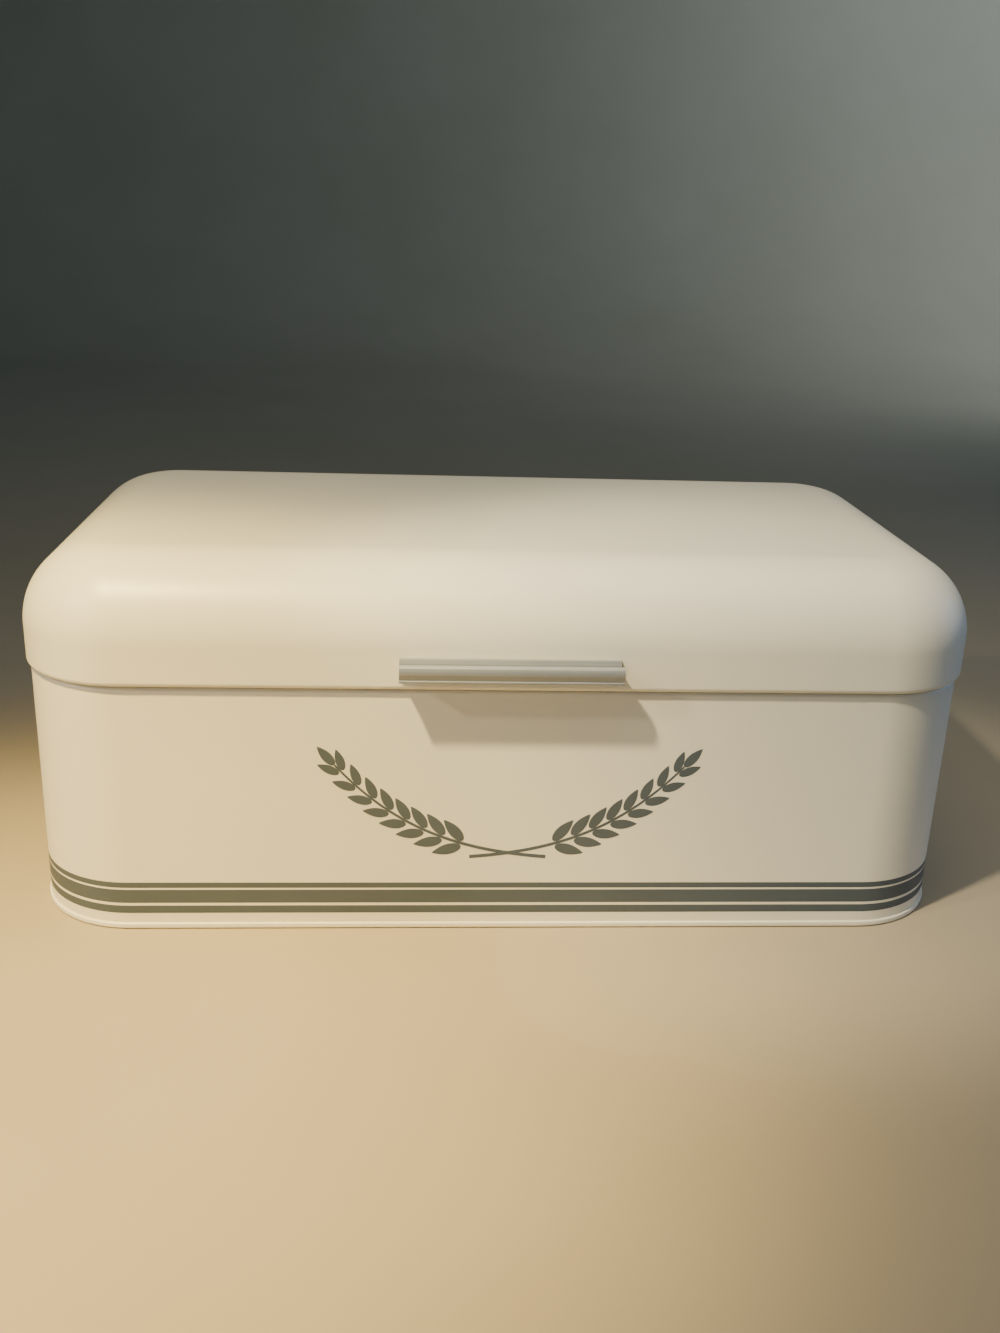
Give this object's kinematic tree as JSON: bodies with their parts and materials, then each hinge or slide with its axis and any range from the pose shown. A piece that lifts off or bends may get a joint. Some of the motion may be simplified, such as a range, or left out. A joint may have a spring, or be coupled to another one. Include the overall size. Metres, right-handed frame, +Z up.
{
  "type": "bread box",
  "caption": "Long sheet-steel bread box with rounded corners, a rear-hinged rounded lid with an aluminium finger pull, and printed bands round the foot.",
  "frame": {"origin": "on the floor that the box stands on, under the middle of the box", "axes": "+X along the length, to the right as seen from the front; +Y towards the hinges at the rear; +Z up"},
  "size_m": [0.42, 0.2441, 0.168],
  "materials": {
    "powder_coat": "matte warm white powder coat",
    "band_print": "matte warm grey print",
    "satin_aluminium": "satin anodised aluminium, drawn along its length",
    "zinc_plate": "zinc-plated pressed steel",
    "bright_steel": "plain bright steel",
    "foot_rubber": "matte black rubber",
    "clear_silicone": "cloudy silicone"
  },
  "bodies": {
    "box": {"body_wall": "powder_coat", "base_pan": "powder_coat", "stripe_bottom": "band_print", "stripe_middle": "band_print", "stripe_top": "band_print", "hinge_body_leaf_left": "zinc_plate", "hinge_pin_left": "bright_steel", "body_rivets_left": "bright_steel", "rim_bumper_left": "clear_silicone", "foot_front_left": "foot_rubber", "foot_rear_left": "foot_rubber", "hinge_body_leaf_right": "zinc_plate", "hinge_pin_right": "bright_steel", "body_rivets_right": "bright_steel", "rim_bumper_right": "clear_silicone", "foot_front_right": "foot_rubber", "foot_rear_right": "foot_rubber"},
    "lid": {"lid_shell": "powder_coat", "handle": "satin_aluminium", "hinge_lid_leaf_left": "zinc_plate", "lid_rivets_left": "bright_steel", "handle_screw_left": "bright_steel", "handle_washer_left": "bright_steel", "hinge_lid_leaf_right": "zinc_plate", "lid_rivets_right": "bright_steel", "handle_screw_right": "bright_steel", "handle_washer_right": "bright_steel"}
  },
  "joints": [
    {"name": "lid_hinge", "type": "hinge", "parent": "box", "child": "lid", "pos_m": [0, 0.1136, 0.115], "axis": [-1, 0, 0], "range_deg": [0, 100]}
  ]
}
